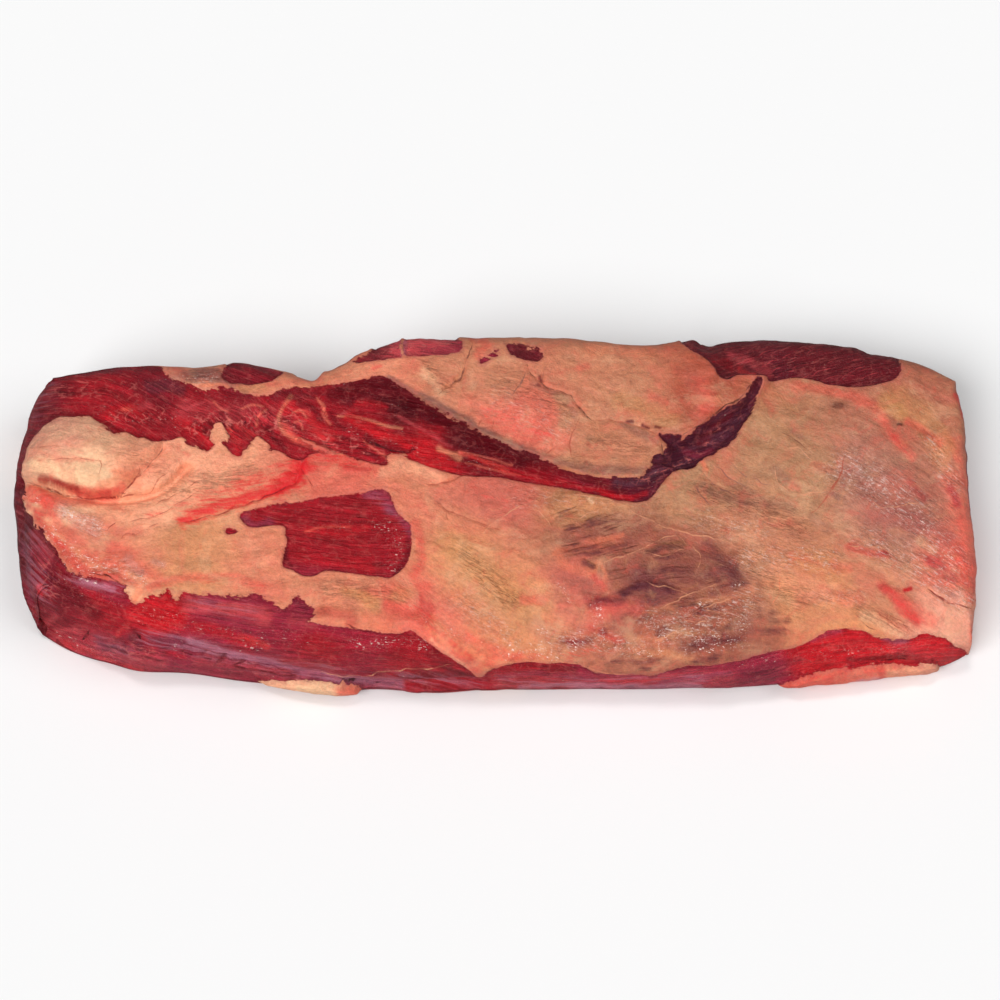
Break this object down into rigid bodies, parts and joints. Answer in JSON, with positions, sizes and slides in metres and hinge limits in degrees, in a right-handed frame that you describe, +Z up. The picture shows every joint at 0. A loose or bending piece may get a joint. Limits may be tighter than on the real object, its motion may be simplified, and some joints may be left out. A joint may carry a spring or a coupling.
{
  "type": "raw beef brisket",
  "caption": "Raw untrimmed beef brisket, a long flat slab of muscle under a fat cap, lying on its flat underside.",
  "frame": {"origin": "middle of the meat in plan, at the height of the surface that it rests on", "axes": "+X along the length towards the thinner cut end, +Y across the width, +Z up through the fat side"},
  "size_m": [0.5586, 0.2208, 0.0736],
  "materials": {
    "raw_meat": "moist fat and bare muscle"
  },
  "bodies": {
    "root": {"brisket": "raw_meat"}
  },
  "joints": []
}
